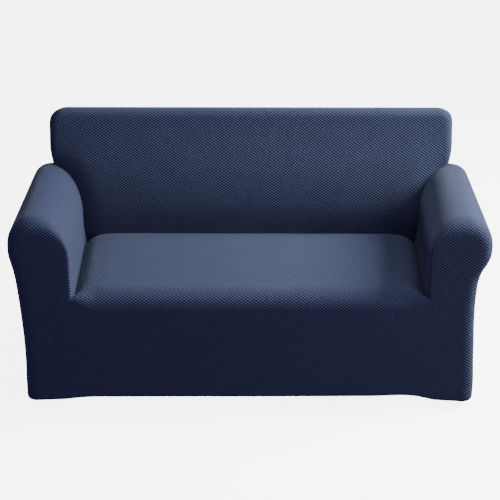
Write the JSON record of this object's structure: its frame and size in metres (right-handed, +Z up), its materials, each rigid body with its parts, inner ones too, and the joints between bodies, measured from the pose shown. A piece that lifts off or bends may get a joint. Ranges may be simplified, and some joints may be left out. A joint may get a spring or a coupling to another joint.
{
  "type": "fitted stretch sofa slipcover, two-seat, rolled arms",
  "caption": "Fitted stretch slipcover for a two-seat sofa with rolled arms, hollow and open below, with a turned elastic hem.",
  "frame": {"origin": "middle of the underside of the cloth on top of the back, where the cover hangs on the sofa", "axes": "+X to the right seen from the front, -Y towards the front, +Z up"},
  "size_m": [1.591, 0.7869, 0.8295],
  "materials": {
    "stretch_jacquard": "matt dark navy stretch jacquard with a small raised diamond weave"
  },
  "bodies": {
    "root": {"inside_back": "stretch_jacquard", "outside_back": "stretch_jacquard", "seat_apron": "stretch_jacquard", "arm_left": "stretch_jacquard", "arm_right": "stretch_jacquard", "arm_front_left": "stretch_jacquard", "arm_front_right": "stretch_jacquard"}
  },
  "joints": []
}
